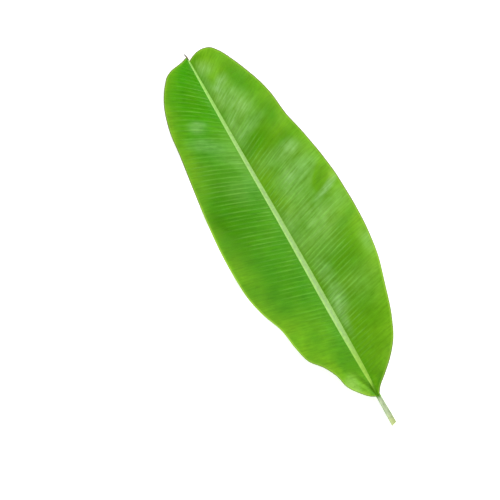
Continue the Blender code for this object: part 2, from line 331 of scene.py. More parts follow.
@dataclass
class BladeHalf:
    """One half of the blade: a thin closed sheet with vein ridges, arch and waved margin."""

    name: str
    side: Side
    spine: Spine
    margin: tuple[tuple[float, float], ...]
    top_y: float
    lean: tuple[tuple[float, float], ...]
    arch: tuple[tuple[float, float], ...]
    margin_height: tuple[tuple[float, float], ...]
    waves: tuple[tuple[float, float, float], ...]
    relief: tuple[tuple[float, float], ...]  # how strongly the veins stand out along the half
    reach: tuple[tuple[float, float], ...]  # the share of the width that they reach
    ramp: tuple[float, float]  # shares of the width between which the blade yellows
    swells: tuple[Patch, ...]
    # Wax bloom, and painted sheen where the blade would catch the light.
    wax_and_sheen: tuple[Patch, ...]
    # Darker green, and painted shade on folds and creases and on the standing parts at the blade's start.
    deep: tuple[Patch, ...]
    # Yellower green, and painted light where raised parts at the blade's start face the light.
    yellow_and_lit: tuple[Patch, ...]
    # Paler patches that paint highlights on the raised lobe at the blade's start and on folds of the margin.
    pale: tuple[Patch, ...]
    dry: tuple[tuple[float, float], ...]  # how browned the margin is along the half
    valley: Valley | None = None
    vein_pitch: float = 10.0
    rows_per_vein: int = 8
    crowding: float = 0.6  # draws the mesh rows together on the ridges
    columns: int = 58
    thickness: float = 0.45
    drop: float = 0.35  # below the solid's upper face, so that both have the same underside
    ridge_height: float = 0.22
    ridge_half: float = 1.1
    corrugation: float = 0.07
    vein_sweep: float = -0.15  # veins leave the midrib steeply and flatten outwards
    arch_crest: float = 0.85
    droop_power: float = 1.6
    wave_height: float = 6.5
    wave_power: float = 2.6
    wave_settle: float = 0.4
    wave_fade: float = 60.0
    solid_thickness: float = 0.8
    narrow: float = 30.0  # where a half is narrower than this, all its relief is lower
    tuck: float = 0.8  # how far the sheet's inner edge runs in under the midrib's lip
    outline: np.ndarray = field(init=False)

    def __post_init__(self) -> None:
        """Draws the margin as many points."""
        self.outline = self.dense_outline()

    def edge(self, y: np.ndarray) -> np.ndarray:
        """Gives the place across where the half leaves the midrib at y."""
        here = self.spine.section(y)
        return here.centre + self.side.value * here.half_width

    def dense_outline(self) -> np.ndarray:
        """Draws the margin on a smooth curve, tied to the midrib at both ends.

        Returns:
            Two rows, the places across and along.
        """
        ends = np.array([0.0, self.top_y])
        start, stop = self.edge(ends)
        points = np.array([(start, 0.0), *self.margin, (stop, self.top_y)], float)
        run = np.concatenate([[0.0], np.cumsum(np.hypot(*np.diff(points, axis=0).T))])
        return smooth(run, points, np.linspace(0.0, run[-1], 2400)).T

    def vein_ends(self, y: np.ndarray) -> tuple[np.ndarray, np.ndarray]:
        """Finds where the veins that leave the midrib at y meet the margin.

        Args:
            y: Places along the midrib.

        Returns:
            The places across and along of the veins' outer ends.
        """
        x, up = self.outline
        slopes = np.tan(np.radians(eased(self.lean, y)))
        across, along = np.empty_like(y), np.empty_like(y)
        for i, (place, slope, edge) in enumerate(zip(y, slopes, self.edge(y))):
            foot = np.maximum.accumulate(up - slope * np.abs(x - edge))
            last = min(max(int(np.searchsorted(foot, place)), 1), len(foot) - 1)
            gap = foot[last] - foot[last - 1]
            share = min(max((place - foot[last - 1]) / gap, 0.0), 1.0) if gap > 0 else 0.0
            across[i] = x[last - 1] + share * (x[last] - x[last - 1])
            along[i] = up[last - 1] + share * (up[last] - up[last - 1])
        return across, along

    def wave(self, y: np.ndarray) -> np.ndarray:
        """Gives the height of the margin's waves, with broad troughs and narrower crests."""
        total = sum(part * np.sin(2 * np.pi * y / length + start) for part, length, start in self.waves)
        height = rounded_floor(self.wave_height * ((1 + total) / 2) ** 2 - self.wave_settle, 0.25)
        return height * ease(np.minimum(y, self.top_y - y) / self.wave_fade)

    def vein_rows(self) -> tuple[np.ndarray, np.ndarray, np.ndarray]:
        """Spaces the mesh rows along the midrib, with the veins a little uneven, as they grow.

        Returns:
            For each row its place along the midrib, its vein number, which is whole in the furrows
            and a half more on the ridges, and how strong the nearest vein is.
        """
        veins = round(self.top_y / self.vein_pitch)
        draw = np.random.default_rng(SEED + self.side.value)
        even = np.linspace(0.0, veins, veins * self.rows_per_vein + 1)
        number = even + self.crowding * np.sin(2 * np.pi * even) / (2 * np.pi)
        ridges = np.arange(veins) + 0.5
        knots = np.concatenate([[0.0], ridges, [veins]])
        shift = np.concatenate([[0.0], draw.uniform(-0.15, 0.15, veins), [0.0]])
        strength = draw.uniform(0.6, 1.2, veins)[np.minimum(number.astype(int), veins - 1)]
        return smooth(knots, knots + shift, number) * self.top_y / veins, number, strength

    def undulation(self, y: np.ndarray, share: np.ndarray) -> np.ndarray:
        """Gives the slight unevenness that a supple blade has, in millimetres."""
        terms = (
            (0.45, 143.0, 0.6), (0.40, 97.0, -0.8), (0.26, 61.0, 1.3), (0.15, 38.0, -0.5), (0.09, 23.0, 0.9),
        )
        total = 0.0
        for number, (height, length, turn) in enumerate(terms):
            start = 2.1 * number * self.side.value + 0.7
            total = total + height * np.sin(2 * np.pi * (y / length + turn * share) + start)
        return total * ease(share / 0.15)

    def surface(self, share: np.ndarray) -> dict[str, np.ndarray]:
        """Works out the upper face on a grid of rows and columns.

        Args:
            share: Shares of the way to the margin, one for each column.

        Returns:
            "points" with three values for each grid point, and one value for each in "across", "vein", "share",
            "ridge", "wax_and_sheen", "deep", "yellow_and_lit", "pale" and "dry". The wax patches also paint sheen,
            the deep ones paint shade, some yellow ones paint light and the pale ones paint highlights.
        """
        y, number, strength = self.vein_rows()
        edge, lip = self.edge(y)[:, None], self.spine.lip_height(y)[:, None]
        end_x, end_y = (a[:, None] for a in self.vein_ends(y))
        margin = self.solid_thickness + eased(self.margin_height, y)[:, None]
        arch = eased(self.arch, y)[:, None]
        relief, reach = eased(self.relief, y)[:, None], eased(self.reach, y)[:, None]
        y, number, strength, share = y[:, None], number[:, None], strength[:, None], share[None, :]
        run = share + self.vein_sweep * (share**3 - share)
        width = np.abs(end_x - edge)

        height = lip + (margin - lip) * share**self.droop_power + self.wave(y) * share**self.wave_power
        height += arch * np.sin(np.pi * share**self.arch_crest)
        if self.valley:
            height -= self.valley.drop(y, share)
        full = ease(width / self.narrow)
        from_ridge = (number - np.floor(number) - 0.5) * self.vein_pitch
        shown = relief * ease(share / 0.05) * (1 - 0.9 * ease((share - reach) / 0.3 + 1))
        broken = 1 + 0.5 * np.sin(number * 2.3 + 6 * share) * np.sin(number * 0.7 - 9 * share)
        ridge = strength * broken * np.exp(-((from_ridge / self.ridge_half) ** 2))
        crest = np.cos(2 * np.pi * (number - 0.5))
        height += (self.ridge_height * ridge + self.corrugation * crest) * shown * full
        height += self.undulation(y, share) * full

        ends = (y <= 0.0) | (y >= self.top_y)
        points = np.empty((*width.shape[:1], share.shape[1], 3))
        points[..., 0] = np.where(ends, edge, edge + (end_x - edge) * share)
        points[..., 1] = np.where(ends, y, y + (end_y - y) * run)
        up = points[..., 1]
        height += sum(swell.weight(up, share) for swell in self.swells) * full
        lift = rounded_floor(height - self.drop - self.thickness, 0.3)
        points[..., 2] = np.where(ends, lip - self.drop, self.thickness + lift)
        shape = points.shape[:2]
        ramp = ease((share - self.ramp[0]) / (self.ramp[1] - self.ramp[0]))
        return {
            "points": points,
            "across": np.where(ends, 0.0, width * share),
            "vein": np.broadcast_to(number, shape),
            "share": np.broadcast_to(share, shape),
            "ridge": np.clip(ridge * shown, 0.0, 1.0),
            "wax_and_sheen": np.clip(sum(patch.weight(up, share) for patch in self.wax_and_sheen), 0.0, 1.0),
            "deep": np.clip(sum(patch.weight(up, share) for patch in self.deep), 0.0, 1.0),
            "yellow_and_lit": np.clip(ramp + sum(patch.weight(up, share) for patch in self.yellow_and_lit), 0.0, 1.0),
            "pale": np.clip(sum(patch.weight(up, share) for patch in self.pale), 0.0, 1.0),
            "dry": np.clip(eased(self.dry, up), 0.0, 1.0),
        }

    def build(self, placement: Placement) -> bpy.types.Object:
        """Builds the half as a closed sheet.

        Args:
            placement: Where the drawing frame lies in the row frame.

        Returns:
            The mesh object, with its material slots still empty.
        """
        even = np.linspace(0.0, 1.0, self.columns + 1)
        face = self.surface(even - 0.06 * np.sin(2 * np.pi * even))
        points = face["points"]
        rows = len(points) - 1

        bm = bmesh.new()
        bmesh.ops.create_grid(bm, x_segments=self.columns, y_segments=rows, size=1.0)
        row_layer = bm.verts.layers.int.new("row")
        column_layer = bm.verts.layers.int.new("column")
        for vert in bm.verts:
            row = round((vert.co.y + 1) / 2 * rows)
            column = round((vert.co.x + 1) / 2 * self.columns)
            vert[row_layer], vert[column_layer] = row, column
            vert.co = points[row, column]
        bmesh.ops.remove_doubles(bm, verts=bm.verts[:], dist=1e-3)
        bmesh.ops.dissolve_degenerate(bm, edges=bm.edges[:], dist=1e-3)
        bmesh.ops.recalc_face_normals(bm, faces=bm.faces[:])
        bm.normal_update()
        if sum(f.normal.z for f in bm.faces) < 0:
            bmesh.ops.reverse_faces(bm, faces=bm.faces[:])
            bm.normal_update()
        under = {(v[row_layer], v[column_layer]): v.co - v.normal * self.thickness for v in bm.verts}
        made = bmesh.ops.extrude_face_region(bm, geom=bm.faces[:])["geom"]
        for part in made:
            if isinstance(part, bmesh.types.BMVert):
                part.co = under[part[row_layer], part[column_layer]]
                part.co.z = max(part.co.z, 0.0)
            if isinstance(part, bmesh.types.BMFace):
                part.material_index = 1
        for vert in bm.verts:
            if vert[column_layer] == 0:
                vert.co.x -= self.side.value * self.tuck
        bmesh.ops.recalc_face_normals(bm, faces=bm.faces[:])

        mesh = bpy.data.meshes.new(self.name)
        bm.to_mesh(mesh)
        bm.free()
        self.mark(mesh, face)
        return finished(self.name, mesh, placement)

    def mark(self, mesh: bpy.types.Mesh, face: dict[str, np.ndarray]) -> None:
        """Writes what the finishes read: the vein map, distances in millimetres and shares.

        Args:
            mesh: The half's mesh in the drawing frame, with its row and column numbers.
            face: What surface() gave.
        """
        count = len(mesh.vertices)
        row, column = np.empty(count, np.int32), np.empty(count, np.int32)
        mesh.attributes["row"].data.foreach_get("value", row)
        mesh.attributes["column"].data.foreach_get("value", column)
        margin = KDTree(self.outline.shape[1])
        for number, (x, y) in enumerate(self.outline.T):
            margin.insert((x, y, 0.0), number)
        margin.balance()
        write_number(mesh, "inset", [margin.find((v.co.x, v.co.y, 0.0))[2] for v in mesh.vertices])
        for name in ("across", "ridge", "wax_and_sheen", "deep", "yellow_and_lit", "pale", "dry"):
            write_number(mesh, name, face[name][row, column])
        corners = np.empty(len(mesh.loops), np.int32)
        mesh.loops.foreach_get("vertex_index", corners)
        veins = np.stack([face["vein"][row, column], face["share"][row, column]], 1)[corners]
        mesh.uv_layers.new(name=VEIN_MAP).uv.foreach_set("vector", veins.astype(np.float32).ravel())
        for name in ("row", "column"):
            mesh.attributes.remove(mesh.attributes[name])


def write_number(mesh: bpy.types.Mesh, name: str, values: list[float] | np.ndarray) -> None:
    """Writes one number for each vertex as an attribute that materials can read."""
    layer = mesh.attributes.new(name, "FLOAT", "POINT")
    layer.data.foreach_set("value", np.asarray(values, np.float32))


def finished(name: str, mesh: bpy.types.Mesh, placement: Placement) -> bpy.types.Object:
    """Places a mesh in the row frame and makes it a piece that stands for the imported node.

    Args:
        name: The piece's name.
        mesh: The mesh in the drawing frame.
        placement: Where the drawing frame lies.

    Returns:
        The new object.
    """
    places = np.empty(len(mesh.vertices) * 3, np.float32)
    mesh.vertices.foreach_get("co", places)
    places = placement.place(places.reshape(-1, 3).astype(float))
    mesh.vertices.foreach_set("co", places.astype(np.float32).ravel())
    mesh.update()
    mesh.shade_smooth()
    mesh.set_sharp_from_angle(angle=math.radians(50))
    piece = bpy.data.objects.new(name, mesh)
    bpy.context.scene.collection.objects.link(piece)
    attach(piece, BODY)
    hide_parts(NODE)
    return piece


@dataclass
class MidribAndStalk:
    """The midrib and stalk in one: a grooved top, fibres, a keel, and the cut end's air cells."""

    name: str
    spine: Spine
    end_y: float = 852.0
    row_step: float = 2.0
    top_columns: int = 52
    under_columns: int = 60
    bead: float = 0.2  # how far the rounded lips stand over the blade
    fibre: float = 0.05
    cap_rings: int = 24
    cell_pitch: float = 1.25
    cell_depth: float = 0.55
    rind: float = 0.7

    def rings(self, y: np.ndarray) -> tuple[np.ndarray, np.ndarray]:
        """Works out the closed ring of points at each place.

        Args:
            y: Places along the leaf.

        Returns:
            Points of rows by columns, and each column's place from -1 to 1 across the top,
            or beyond that on the underside.
        """
        here = self.spine.section(y)
        lip = self.spine.lip_height(y)
        s = np.sin(np.linspace(-np.pi / 2, np.pi / 2, self.top_columns + 1))
        # A groove with a broad floor between two rounded lips.
        groove = 1 - np.abs(s) ** 2.4
        bead = np.exp(-(((np.abs(s) - 0.86) / 0.16) ** 2))
        size = np.minimum(self.bead, here.half_width * 0.12)
        top_x = here.centre[:, None] + s * here.half_width[:, None]
        top_z = lip[:, None] - groove * here.groove[:, None] + bead * size[:, None]

        knots = (0.0, 0.12, 0.25, 0.42, 0.58, 0.75, 0.88, 1.0)
        depths = np.array([0.0, 0.3, 0.66, 1.0, 1.0, 0.66, 0.3, 0.0])[:, None] * here.depth
        widths = np.array([0.0, 1.0, 0.9, 0.42, -0.42, -0.9, -1.0, 0.0])[:, None] * here.keel_half
        widths[0] = here.half_width
        widths[-1] = -here.half_width
        t = np.linspace(0.0, 1.0, self.under_columns + 1)[1:-1]
        under_x = here.centre[:, None] + smooth(knots, widths, t).T
        under_z = np.maximum(lip[:, None] - smooth(knots, depths, t).T, 0.0)

        x = np.concatenate([top_x, under_x], axis=1)
        z = np.concatenate([top_z, under_z], axis=1)
        place = np.concatenate([s, 1 + 2 * t])
        columns = x.shape[1]
        number = np.arange(columns)
        draw = np.random.default_rng(SEED)
        strands = draw.uniform(-1, 1, columns)
        strands = (strands + np.roll(strands, 1)) / 2
        strand = self.fibre * strands * (0.6 + 0.4 * np.sin(number * 0.9 + y[:, None] / 57.0))
        middle = np.stack([here.centre, lip - here.depth / 2], 1)
        out = np.stack([x, z], 2) - middle[:, None, :]
        out /= np.maximum(np.linalg.norm(out, axis=2, keepdims=True), 1e-6)
        x = x + out[..., 0] * strand
        z = np.maximum(z + out[..., 1] * strand, 0.0)
        along = self.spine.cut_slant(x, np.broadcast_to(y[:, None], x.shape))
        return np.stack([x, along, z], 2), place

    def cells(self, points: np.ndarray) -> np.ndarray:
        """Says how deep each point of the cut face lies in an air cell.

        Args:
            points: Places across and up on the cut face.

        Returns:
            0 on the walls and 1 in the cells.
        """
        low, high = points.min(axis=0) - 1, points.max(axis=0) + 1
        draw = np.random.default_rng(SEED + 2)
        grid_x = np.arange(low[0], high[0], self.cell_pitch)
        grid_z = np.arange(low[1], high[1], self.cell_pitch * 0.87)
        centres = []
        for number, z in enumerate(grid_z):
            shift = self.cell_pitch / 2 * (number % 2)
            centres += [(x + shift, z) for x in grid_x]
        centres = np.array(centres) + draw.uniform(-0.22, 0.22, (len(centres), 2)) * self.cell_pitch
        gaps = np.linalg.norm(points[:, None, :] - centres[None, :, :], axis=2)
        gaps.sort(axis=1)
        return ease(((gaps[:, 1] - gaps[:, 0]) / 2 - 0.07) / 0.16)

    def build(self, placement: Placement) -> bpy.types.Object:
        """Builds the midrib, the stalk and the cut face as one closed mesh.

        Args:
            placement: Where the drawing frame lies in the row frame.

        Returns:
            The mesh object, with its material slots still empty.
        """
        rows = round((self.end_y - self.spine.stalk_end) / self.row_step)
        y = np.linspace(self.spine.stalk_end, self.end_y, rows + 1)
        points, place = self.rings(y)
        columns = len(place)

        bm = bmesh.new()
        bmesh.ops.create_grid(bm, x_segments=columns, y_segments=rows, size=1.0)
        number = bm.verts.layers.float.new("round")
        along = bm.verts.layers.float.new("along")
        cut = bm.verts.layers.float.new("cut")
        cell = bm.verts.layers.float.new("cell")
        for vert in bm.verts:
            row = round((vert.co.y + 1) / 2 * rows)
            column = round((vert.co.x + 1) / 2 * columns) % columns
            vert[number], vert[along] = place[column], y[row]
            vert.co = points[row, column]
        bmesh.ops.remove_doubles(bm, verts=bm.verts[:], dist=1e-4)
        rim = [e for e in bm.edges if e.is_boundary]
        stalk_rim = [e for e in rim if e.verts[0].co.y < self.spine.blade_length / 2]
        bmesh.ops.edgeloop_fill(bm, edges=[e for e in rim if e not in stalk_rim])
        self.cap(bm, stalk_rim, cut, cell)
        bmesh.ops.recalc_face_normals(bm, faces=bm.faces[:])

        mesh = bpy.data.meshes.new(self.name)
        bm.to_mesh(mesh)
        bm.free()
        return finished(self.name, mesh, placement)

    def cap(
        self,
        bm: bmesh.types.BMesh,
        rim: list[bmesh.types.BMEdge],
        cut: bmesh.types.BMLayerItem,
        cell: bmesh.types.BMLayerItem,
    ) -> None:
        """Closes the stalk with a cut face of rings drawn in to its middle.

        Args:
            bm: The ring mesh, open at the stalk's end.
            rim: The edges of that opening.
            cut: Vertex layer for how far in from the rim a point lies, in millimetres.
            cell: Vertex layer for the air cells.
        """
        start = {v for e in rim for v in e.verts}
        middle = sum((v.co for v in start), Vector()) / len(start)
        radius = sum((v.co - middle).length for v in start) / len(start)
        edges, inner = rim, []
        for step in range(1, self.cap_rings + 1):
            made = bmesh.ops.extrude_edge_only(bm, edges=edges)["geom"]
            edges = [part for part in made if isinstance(part, bmesh.types.BMEdge) and part.is_boundary]
            share = (self.cap_rings - step) / (self.cap_rings - step + 1)
            ring = {v for e in edges for v in e.verts}
            for vert in ring:
                vert.co = middle + (vert.co - middle) * share
                vert[cut] = radius * step / self.cap_rings
            for part in made:
                if isinstance(part, bmesh.types.BMFace):
                    part.material_index = 1
            inner += list(ring)
        bmesh.ops.remove_doubles(bm, verts=inner, dist=1e-4)
        inner = [v for v in inner if v.is_valid]
        depth = self.cells(np.array([(v.co.x, v.co.z) for v in inner]))
        for vert, deep in zip(inner, depth):
            solid = 1 - ease((vert[cut] - self.rind) / 0.4)
            vert[cell] = float(deep * (1 - solid))
            vert.co.y += self.cell_depth * vert[cell]


@dataclass
class DriedThread:
    """The withered thread at the tip: a thin, curled and wrinkled strand."""

    name: str
    spine: Spine
    start_y: float = 843.0
    rows: int = 64
    around: int = 18

    def build(self, placement: Placement) -> bpy.types.Object:
        """Builds the thread as a closed strand.

        Args:
            placement: Where the drawing frame lies in the row frame.

        Returns:
            The mesh object, with its material slots still empty.
        """
        t = np.linspace(0.0, 1.0, self.rows + 1)
        y = self.start_y + (self.spine.thread_end - 0.02 - self.start_y) * t
        here = self.spine.section(y)
        curl = ease((t - 0.45) / 0.55)
        centre_x = here.centre + 0.5 * np.sin(t * 7.0) * curl - 0.9 * ease((t - 0.82) / 0.18)
        centre_z = self.spine.lip_height(y) + 0.3 - here.depth / 2 + 1.6 * curl**2
        wide = np.interp(t, (0.0, 0.3, 0.75, 0.97, 1.0), (1.7, 1.6, 1.4, 1.3, 0.2))
        flat = np.interp(t, (0.0, 0.5, 1.0), (0.75, 0.6, 0.6))

        bm = bmesh.new()
        bmesh.ops.create_grid(bm, x_segments=self.around, y_segments=self.rows, size=1.0)
        for vert in bm.verts:
            row = round((vert.co.y + 1) / 2 * self.rows)
            column = round((vert.co.x + 1) / 2 * self.around) % self.around
            angle = 2 * math.pi * column / self.around
            wrinkle = 1 + 0.16 * math.sin(3 * angle + row * 0.35) + 0.08 * math.sin(7 * angle - row * 0.9)
            x = wide[row] * wrinkle * math.cos(angle)
            z = wide[row] * flat[row] * wrinkle * math.sin(angle)
            turn = 1.1 * t[row] ** 2
            vert.co = (
                centre_x[row] + x * math.cos(turn) - z * math.sin(turn),
                y[row],
                centre_z[row] + x * math.sin(turn) + z * math.cos(turn),
            )
        bmesh.ops.remove_doubles(bm, verts=bm.verts[:], dist=1e-4)
        bmesh.ops.holes_fill(bm, edges=[e for e in bm.edges if e.is_boundary], sides=0)
        bmesh.ops.recalc_face_normals(bm, faces=bm.faces[:])
        mesh = bpy.data.meshes.new(self.name)
        bm.to_mesh(mesh)
        bm.free()
        return finished(self.name, mesh, placement)


def new_material(name: str) -> tuple[bpy.types.Material, bpy.types.NodeTree, bpy.types.Node]:
    """Makes a material with a Principled shader.

    Args:
        name: The material's name.

    Returns:
        The material, its tree and the shader node.
    """
    made = bpy.data.materials.new(name)
    made.use_nodes = True
    return made, made.node_tree, made.node_tree.nodes["Principled BSDF"]


@dataclass(frozen=True)
class Tint:
    """One colour of the blade, laid on as strongly as an attribute of the mesh says."""

    attribute: str
    tissue: Tissue
    strength: float
    patchiness: float  # how much the clouds break it up, from 0 to 1
    tear: float = 0.0  # how uneven it is along the veins


@dataclass(frozen=True)
class BladeUpperFinish:
    """Fresh banana blade, upper face: a waxy cuticle over ribbed green tissue.

    The eye sees fine parallel veins, a deep green that yellows towards the margin, dull bluish patches where the
    wax lies thicker, and a soft gloss. The bluish patches also paint sheen where the blade would catch the light,
    darker patches paint shade on its folds and creases, and yellower and paler patches paint light on its raised
    parts.
    """

    name: str
    body: Tissue
    tints: tuple[Tint, ...]
    tip_from: float = 0.22  # metres from the footprint's middle
    tip_to: float = 0.34
    tip_share: float = 0.3
    cloud_size: float = 55.0  # millimetres across one cloud that breaks up the tints and shifts the hue
    mottle_size: float = 24.0
    grain_size: float = 1.1
    rows_per_vein: float = 8.0  # rows between the finest veins in each vein's pitch
    ladder_step: float = 2.8  # millimetres between the cross veins that join them
    ladder_thinness: float = 5.0  # how much thinner the cross veins are than the rows are wide
    roughness: float = 0.34

    def make(self) -> bpy.types.Material:
        """Builds the node material."""
        material, tree, shader = new_material(self.name)
        place = add_node(tree, "TexCoord", out="Object")
        along = add_node(tree, "SeparateXYZ", {0: place}, out=1)
        veins = add_node(tree, "SeparateXYZ", {0: add_node(tree, "UVMap", uv_map=VEIN_MAP)}, out=None)
        inset = add_node(tree, "Attribute", out=2, attribute_name="inset")
        across = add_node(tree, "Attribute", out=2, attribute_name="across")
        mottle = add_node(tree, "TexNoise", {"Vector": place, "Scale": 1 / (self.mottle_size * MM), "Detail": 3.0})
        cloud = add_node(tree, "TexNoise", {"Vector": place, "Scale": 1 / (self.cloud_size * MM), "Detail": 4.0})
        stretched = add_node(tree, "Math", {0: veins.outputs[1], 1: 1.1}, operation="MULTIPLY")
        streak_at = add_node(tree, "CombineXYZ", {0: veins.outputs[0], 1: stretched, 2: 0.0})
        streak = add_node(tree, "TexNoise", {"Vector": streak_at, "Scale": 2.1, "Detail": 3.0})

        tip = add_node(
            tree, "MapRange",
            {0: along, 1: self.tip_from, 2: self.tip_to, 3: 0.0, 4: self.tip_share},
            interpolation_type="SMOOTHSTEP",
        )
        colour = add_node(
            tree, "Mix",
            {0: tip, 6: linear(self.body.value), 7: linear(Tissue.FRESH.value)},
            out=2, data_type="RGBA",
        )
        strokes = add_node(tree, "MapRange", {0: streak, 3: -0.35, 4: 1.35}, clamp=False)
        torn = add_node(tree, "Math", {0: mottle, 1: strokes}, operation="ADD")
        for tint in self.tints:
            amount = add_node(tree, "Attribute", out=2, attribute_name=tint.attribute)
            uneven = add_node(
                tree, "Math", {0: torn, 1: tint.tear, 2: 1 - tint.tear}, operation="MULTIPLY_ADD"
            )
            amount = add_node(tree, "Math", {0: amount, 1: uneven}, operation="MULTIPLY")
            broken = add_node(
                tree, "MapRange",
                {0: cloud, 1: 0.35, 2: 0.65, 3: tint.strength * (1 - tint.patchiness), 4: tint.strength},
                interpolation_type="SMOOTHSTEP",
            )
            amount = add_node(tree, "MapRange", {0: amount, 1: 0.0, 2: 1.0, 3: 0.0, 4: broken})
            colour = add_node(
                tree, "Mix", {0: amount, 6: colour, 7: linear(tint.tissue.value)}, out=2, data_type="RGBA"
            )

        mottled = add_node(tree, "MapRange", {0: mottle, 1: 0.25, 2: 0.75, 3: 0.91, 4: 1.08})
        streaked = add_node(tree, "MapRange", {0: streak, 1: 0.25, 2: 0.75, 3: 0.86, 4: 1.12})
        fleck = add_node(tree, "TexNoise", {"Vector": streak_at, "Scale": 5.5, "Detail": 2.0})
        flecked = add_node(tree, "MapRange", {0: fleck, 1: 0.52, 2: 0.66, 3: 1.02, 4: 0.87})
        value = add_node(tree, "Math", {0: mottled, 1: streaked}, operation="MULTIPLY")
        value = add_node(tree, "Math", {0: value, 1: flecked}, operation="MULTIPLY")
        hue = add_node(tree, "MapRange", {0: cloud, 1: 0.3, 2: 0.7, 3: 0.505, 4: 0.495})
        colour = add_node(tree, "HueSaturation", {"Hue": hue, "Value": value, "Color": colour})

        # A yellowish rim, and a thin dried line along the stretches that have one.
        dry = add_node(tree, "Attribute", out=2, attribute_name="dry")
        for near, far, strength, tissue in (
            (1.5, 5.5, add_node(tree, "MapRange", {0: dry, 3: 0.75, 4: 0.4}), Tissue.RIM_AND_HIGHLIGHT),
            (0.9, 2.4, add_node(tree, "Math", {0: dry, 1: 0.85}, operation="MULTIPLY"), Tissue.SCAR),
        ):
            band = add_node(
                tree, "MapRange",
                {0: inset, 1: near, 2: far, 3: strength, 4: 0.0},
                interpolation_type="SMOOTHSTEP",
            )
            colour = add_node(
                tree, "Mix", {0: band, 6: colour, 7: linear(tissue.value)}, out=2, data_type="RGBA"
            )

        # The finest veins, and between them thinner cross veins that start anew in each row.
        rows = add_node(tree, "Math", {0: veins.outputs[0], 1: self.rows_per_vein}, operation="MULTIPLY")
        row = add_node(tree, "Math", {0: rows}, operation="FLOOR")
        chance = add_node(tree, "TexWhiteNoise", {"W": row}, noise_dimensions="1D")
        steps = add_node(tree, "Math", {0: across, 1: self.ladder_step}, operation="DIVIDE")
        steps = add_node(tree, "Math", {0: steps, 1: chance}, operation="ADD")
        steps = add_node(tree, "Math", {0: steps, 1: self.ladder_thinness}, operation="MULTIPLY")
        net = add_node(
            tree, "TexBrick",
            {"Vector": add_node(tree, "CombineXYZ", {0: steps, 1: rows, 2: 0.0}), "Scale": 1.0,
             "Mortar Size": 0.16, "Mortar Smooth": 1.0,
             "Brick Width": self.ladder_thinness, "Row Height": 1.0},
            out=1,
        )
        shown = add_node(tree, "MapRange", {0: streak, 1: 0.35, 2: 0.65, 3: 0.18, 4: 0.5})
        net_share = add_node(tree, "Math", {0: net, 1: shown}, operation="MULTIPLY")
        colour = add_node(
            tree, "Mix", {0: net_share, 6: colour, 7: linear(Tissue.YOUNG.value)}, out=2, data_type="RGBA"
        )
        tree.links.new(colour, shader.inputs["Base Color"])

        # The wax patches, which also paint sheen, are made a little rougher.
        wax_and_sheen = add_node(tree, "Attribute", out=2, attribute_name="wax_and_sheen")
        dull = add_node(tree, "Math", {0: wax_and_sheen, 1: 0.15}, operation="MULTIPLY")
        rough = add_node(
            tree, "MapRange", {0: mottle, 1: 0.3, 2: 0.7, 3: self.roughness - 0.05, 4: self.roughness + 0.05}
        )
        rough = add_node(tree, "Math", {0: rough, 1: dull}, operation="ADD")
        tree.links.new(rough, shader.inputs["Roughness"])
        shader.inputs["Specular IOR Level"].default_value = 0.06
        grain = add_node(tree, "TexNoise", {"Vector": place, "Scale": 1 / (self.grain_size * MM), "Detail": 2.0})
        relief = add_node(tree, "Math", {0: net, 1: grain}, operation="ADD")
        bump = add_node(tree, "Bump", {"Strength": 1.0, "Distance": 0.05 * MM, "Height": relief})
        tree.links.new(bump, shader.inputs["Normal"])
        return material


@dataclass(frozen=True)
class BladeUnderFinish:
    """Fresh banana blade, underside: paler and duller than the top under its own bloom of wax."""

    name: str = "banana_blade_underside"
    roughness: float = 0.6

    def make(self) -> bpy.types.Material:
        """Builds the node material."""
        material, tree, shader = new_material(self.name)
        place = add_node(tree, "TexCoord", out="Object")
        ridge = add_node(tree, "Attribute", out=2, attribute_name="ridge")
        line = add_node(tree, "Math", {0: ridge, 1: 0.6}, operation="MULTIPLY")
        colour = add_node(
            tree, "Mix",
            {0: line, 6: linear(Tissue.PALE.value), 7: linear(Tissue.PALE_VEIN.value)},
            out=2, data_type="RGBA",
        )
        mottle = add_node(tree, "TexNoise", {"Vector": place, "Scale": 30.0, "Detail": 4.0})
        value = add_node(tree, "MapRange", {0: mottle, 1: 0.25, 2: 0.75, 3: 0.9, 4: 1.12})
        colour = add_node(tree, "HueSaturation", {"Value": value, "Color": colour})
        tree.links.new(colour, shader.inputs["Base Color"])
        shader.inputs["Roughness"].default_value = self.roughness
        shader.inputs["Specular IOR Level"].default_value = 0.3
        return material


